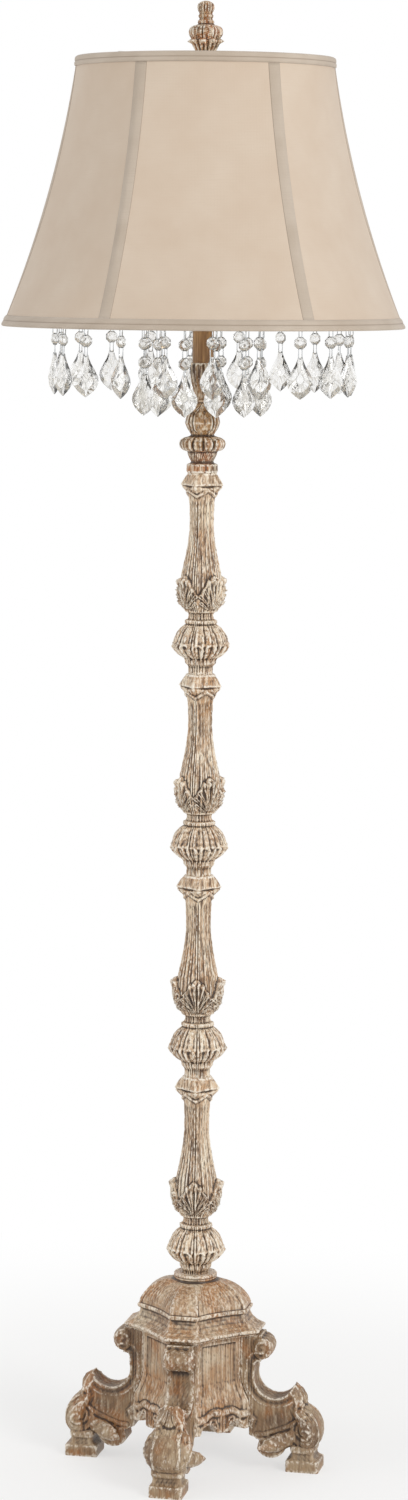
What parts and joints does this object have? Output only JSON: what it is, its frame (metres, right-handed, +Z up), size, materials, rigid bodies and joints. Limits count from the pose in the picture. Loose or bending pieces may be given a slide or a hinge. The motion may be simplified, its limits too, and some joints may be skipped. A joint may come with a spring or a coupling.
{
  "type": "candlestick floor lamp",
  "caption": "Carved wooden candlestick floor lamp on a scroll-legged base, with hanging crystals under a panelled bell shade.",
  "frame": {"origin": "on the floor, under the middle of the base", "axes": "+Z up along the column; -Y towards the front leg and the switch knob; +X towards the right leg"},
  "size_m": [0.4296, 0.4294, 1.5753],
  "materials": {
    "washed_wood": "carved, washed and waxed",
    "cast_iron": "as cast, painted",
    "zinc_plated_steel": "zinc plated",
    "black_plastic": "moulded",
    "polished_chrome": "polished",
    "cut_crystal": "cut and polished",
    "polished_brass": "polished and lacquered",
    "black_bakelite": "moulded",
    "frosted_glass": "frosted",
    "white_enamelled_wire": "enamelled",
    "beige_linen": "plain weave on a stiff backing",
    "beige_braid": "folded braid"
  },
  "bodies": {
    "stand": {"base_body": "washed_wood", "scroll_leg_front": "washed_wood", "scroll_leg_right": "washed_wood", "scroll_leg_back": "washed_wood", "scroll_leg_left": "washed_wood", "counterweight": "cast_iron", "base_nut": "zinc_plated_steel", "cord_bushing": "black_plastic", "column_section_1": "washed_wood", "column_section_2": "washed_wood", "column_section_3": "washed_wood", "column_section_4": "washed_wood", "candle_cup": "washed_wood", "lamp_pipe": "zinc_plated_steel", "candle_sleeve": "washed_wood", "crystal_frame": "polished_chrome", "socket_cap": "polished_brass", "socket_shell": "polished_brass", "bulb": "frosted_glass", "harp_saddle": "polished_brass", "harp": "polished_brass"},
    "shade": {"shade_frame": "white_enamelled_wire", "shade_cover": "beige_linen", "shade_trim": "beige_braid"},
    "finial": {"finial": "washed_wood"},
    "switch": {"switch_knob": "black_bakelite"},
    "ferrule_left": {"harp_ferrule_left": "polished_brass"},
    "ferrule_right": {"harp_ferrule_right": "polished_brass"},
    "string_outer_01": {"crystal_outer_01": "cut_crystal"},
    "string_outer_02": {"crystal_outer_02": "cut_crystal"},
    "string_outer_03": {"crystal_outer_03": "cut_crystal"},
    "string_outer_04": {"crystal_outer_04": "cut_crystal"},
    "string_outer_05": {"crystal_outer_05": "cut_crystal"},
    "string_outer_06": {"crystal_outer_06": "cut_crystal"},
    "string_outer_07": {"crystal_outer_07": "cut_crystal"},
    "string_outer_08": {"crystal_outer_08": "cut_crystal"},
    "string_outer_09": {"crystal_outer_09": "cut_crystal"},
    "string_outer_10": {"crystal_outer_10": "cut_crystal"},
    "string_outer_11": {"crystal_outer_11": "cut_crystal"},
    "string_outer_12": {"crystal_outer_12": "cut_crystal"},
    "string_outer_13": {"crystal_outer_13": "cut_crystal"},
    "string_outer_14": {"crystal_outer_14": "cut_crystal"},
    "string_outer_15": {"crystal_outer_15": "cut_crystal"},
    "string_outer_16": {"crystal_outer_16": "cut_crystal"},
    "string_outer_17": {"crystal_outer_17": "cut_crystal"},
    "string_outer_18": {"crystal_outer_18": "cut_crystal"},
    "string_outer_19": {"crystal_outer_19": "cut_crystal"},
    "string_outer_20": {"crystal_outer_20": "cut_crystal"},
    "string_inner_01": {"crystal_inner_01": "cut_crystal"},
    "string_inner_02": {"crystal_inner_02": "cut_crystal"},
    "string_inner_03": {"crystal_inner_03": "cut_crystal"},
    "string_inner_04": {"crystal_inner_04": "cut_crystal"},
    "string_inner_05": {"crystal_inner_05": "cut_crystal"},
    "string_inner_06": {"crystal_inner_06": "cut_crystal"},
    "string_inner_07": {"crystal_inner_07": "cut_crystal"},
    "string_inner_08": {"crystal_inner_08": "cut_crystal"},
    "string_inner_09": {"crystal_inner_09": "cut_crystal"},
    "string_inner_10": {"crystal_inner_10": "cut_crystal"},
    "string_inner_11": {"crystal_inner_11": "cut_crystal"},
    "string_inner_12": {"crystal_inner_12": "cut_crystal"}
  },
  "joints": [
    {"name": "shade_turn", "type": "hinge", "parent": "stand", "child": "shade", "pos_m": [0, 0, 1.5135], "axis": [0, 0, 1], "continuous": true},
    {"name": "finial_turn", "type": "hinge", "parent": "stand", "child": "finial", "pos_m": [0, 0, 1.5145], "axis": [0, 0, 1], "continuous": true},
    {"name": "switch_turn", "type": "hinge", "parent": "stand", "child": "switch", "pos_m": [0, -0.025, 1.2841], "axis": [0, -1, 0], "continuous": true},
    {"name": "ferrule_left_lift", "type": "slide", "parent": "stand", "child": "ferrule_left", "axis": [0, 0, 1], "range_m": [0, 0.012]},
    {"name": "ferrule_right_lift", "type": "slide", "parent": "stand", "child": "ferrule_right", "axis": [0, 0, 1], "range_m": [0, 0.012]},
    {"name": "outer_01_swing", "type": "hinge", "parent": "stand", "child": "string_outer_01", "pos_m": [-0.00558, -0.1599, 1.2331], "axis": [-0.9994, 0.0349, 0], "range_deg": [-30, 40]},
    {"name": "outer_02_swing", "type": "hinge", "parent": "stand", "child": "string_outer_02", "pos_m": [0.0441, -0.1538, 1.2331], "axis": [-0.9613, -0.2756, 0], "range_deg": [-30, 40]},
    {"name": "outer_03_swing", "type": "hinge", "parent": "stand", "child": "string_outer_03", "pos_m": [0.08947, -0.13265, 1.2331], "axis": [-0.829, -0.5592, 0], "range_deg": [-30, 40]},
    {"name": "outer_04_swing", "type": "hinge", "parent": "stand", "child": "string_outer_04", "pos_m": [0.12608, -0.09851, 1.2331], "axis": [-0.6157, -0.788, 0], "range_deg": [-30, 40]},
    {"name": "outer_05_swing", "type": "hinge", "parent": "stand", "child": "string_outer_05", "pos_m": [0.15035, -0.05472, 1.2331], "axis": [-0.342, -0.9397, 0], "range_deg": [-30, 40]},
    {"name": "outer_06_swing", "type": "hinge", "parent": "stand", "child": "string_outer_06", "pos_m": [0.1599, -0.00558, 1.2331], "axis": [-0.0349, -0.9994, 0], "range_deg": [-30, 40]},
    {"name": "outer_07_swing", "type": "hinge", "parent": "stand", "child": "string_outer_07", "pos_m": [0.1538, 0.0441, 1.2331], "axis": [0.2756, -0.9613, 0], "range_deg": [-30, 40]},
    {"name": "outer_08_swing", "type": "hinge", "parent": "stand", "child": "string_outer_08", "pos_m": [0.13265, 0.08947, 1.2331], "axis": [0.5592, -0.829, 0], "range_deg": [-30, 40]},
    {"name": "outer_09_swing", "type": "hinge", "parent": "stand", "child": "string_outer_09", "pos_m": [0.09851, 0.12608, 1.2331], "axis": [0.788, -0.6157, 0], "range_deg": [-30, 40]},
    {"name": "outer_10_swing", "type": "hinge", "parent": "stand", "child": "string_outer_10", "pos_m": [0.05472, 0.15035, 1.2331], "axis": [0.9397, -0.342, 0], "range_deg": [-30, 40]},
    {"name": "outer_11_swing", "type": "hinge", "parent": "stand", "child": "string_outer_11", "pos_m": [0.00558, 0.1599, 1.2331], "axis": [0.9994, -0.0349, 0], "range_deg": [-30, 40]},
    {"name": "outer_12_swing", "type": "hinge", "parent": "stand", "child": "string_outer_12", "pos_m": [-0.0441, 0.1538, 1.2331], "axis": [0.9613, 0.2756, 0], "range_deg": [-30, 40]},
    {"name": "outer_13_swing", "type": "hinge", "parent": "stand", "child": "string_outer_13", "pos_m": [-0.08947, 0.13265, 1.2331], "axis": [0.829, 0.5592, 0], "range_deg": [-30, 40]},
    {"name": "outer_14_swing", "type": "hinge", "parent": "stand", "child": "string_outer_14", "pos_m": [-0.12608, 0.09851, 1.2331], "axis": [0.6157, 0.788, 0], "range_deg": [-30, 40]},
    {"name": "outer_15_swing", "type": "hinge", "parent": "stand", "child": "string_outer_15", "pos_m": [-0.15035, 0.05472, 1.2331], "axis": [0.342, 0.9397, 0], "range_deg": [-30, 40]},
    {"name": "outer_16_swing", "type": "hinge", "parent": "stand", "child": "string_outer_16", "pos_m": [-0.1599, 0.00558, 1.2331], "axis": [0.0349, 0.9994, 0], "range_deg": [-30, 40]},
    {"name": "outer_17_swing", "type": "hinge", "parent": "stand", "child": "string_outer_17", "pos_m": [-0.1538, -0.0441, 1.2331], "axis": [-0.2756, 0.9613, 0], "range_deg": [-30, 40]},
    {"name": "outer_18_swing", "type": "hinge", "parent": "stand", "child": "string_outer_18", "pos_m": [-0.13265, -0.08947, 1.2331], "axis": [-0.5592, 0.829, 0], "range_deg": [-30, 40]},
    {"name": "outer_19_swing", "type": "hinge", "parent": "stand", "child": "string_outer_19", "pos_m": [-0.09851, -0.12608, 1.2331], "axis": [-0.788, 0.6157, 0], "range_deg": [-30, 40]},
    {"name": "outer_20_swing", "type": "hinge", "parent": "stand", "child": "string_outer_20", "pos_m": [-0.05472, -0.15035, 1.2331], "axis": [-0.9397, 0.342, 0], "range_deg": [-30, 40]},
    {"name": "inner_01_swing", "type": "hinge", "parent": "stand", "child": "string_inner_01", "pos_m": [-0.00566, -0.06475, 1.2331], "axis": [-0.9962, 0.0872, 0], "range_deg": [-6, 30]},
    {"name": "inner_02_swing", "type": "hinge", "parent": "stand", "child": "string_inner_02", "pos_m": [0.02747, -0.05891, 1.2331], "axis": [-0.9063, -0.4226, 0], "range_deg": [-6, 30]},
    {"name": "inner_03_swing", "type": "hinge", "parent": "stand", "child": "string_inner_03", "pos_m": [0.05325, -0.03728, 1.2331], "axis": [-0.5736, -0.8192, 0], "range_deg": [-6, 30]},
    {"name": "inner_04_swing", "type": "hinge", "parent": "stand", "child": "string_inner_04", "pos_m": [0.06475, -0.00566, 1.2331], "axis": [-0.0872, -0.9962, 0], "range_deg": [-6, 30]},
    {"name": "inner_05_swing", "type": "hinge", "parent": "stand", "child": "string_inner_05", "pos_m": [0.05891, 0.02747, 1.2331], "axis": [0.4226, -0.9063, 0], "range_deg": [-6, 30]},
    {"name": "inner_06_swing", "type": "hinge", "parent": "stand", "child": "string_inner_06", "pos_m": [0.03728, 0.05325, 1.2331], "axis": [0.8192, -0.5736, 0], "range_deg": [-6, 30]},
    {"name": "inner_07_swing", "type": "hinge", "parent": "stand", "child": "string_inner_07", "pos_m": [0.00566, 0.06475, 1.2331], "axis": [0.9962, -0.0872, 0], "range_deg": [-6, 30]},
    {"name": "inner_08_swing", "type": "hinge", "parent": "stand", "child": "string_inner_08", "pos_m": [-0.02747, 0.05891, 1.2331], "axis": [0.9063, 0.4226, 0], "range_deg": [-6, 30]},
    {"name": "inner_09_swing", "type": "hinge", "parent": "stand", "child": "string_inner_09", "pos_m": [-0.05325, 0.03728, 1.2331], "axis": [0.5736, 0.8192, 0], "range_deg": [-6, 30]},
    {"name": "inner_10_swing", "type": "hinge", "parent": "stand", "child": "string_inner_10", "pos_m": [-0.06475, 0.00566, 1.2331], "axis": [0.0872, 0.9962, 0], "range_deg": [-6, 30]},
    {"name": "inner_11_swing", "type": "hinge", "parent": "stand", "child": "string_inner_11", "pos_m": [-0.05891, -0.02747, 1.2331], "axis": [-0.4226, 0.9063, 0], "range_deg": [-6, 30]},
    {"name": "inner_12_swing", "type": "hinge", "parent": "stand", "child": "string_inner_12", "pos_m": [-0.03728, -0.05325, 1.2331], "axis": [-0.8192, 0.5736, 0], "range_deg": [-6, 30]}
  ]
}
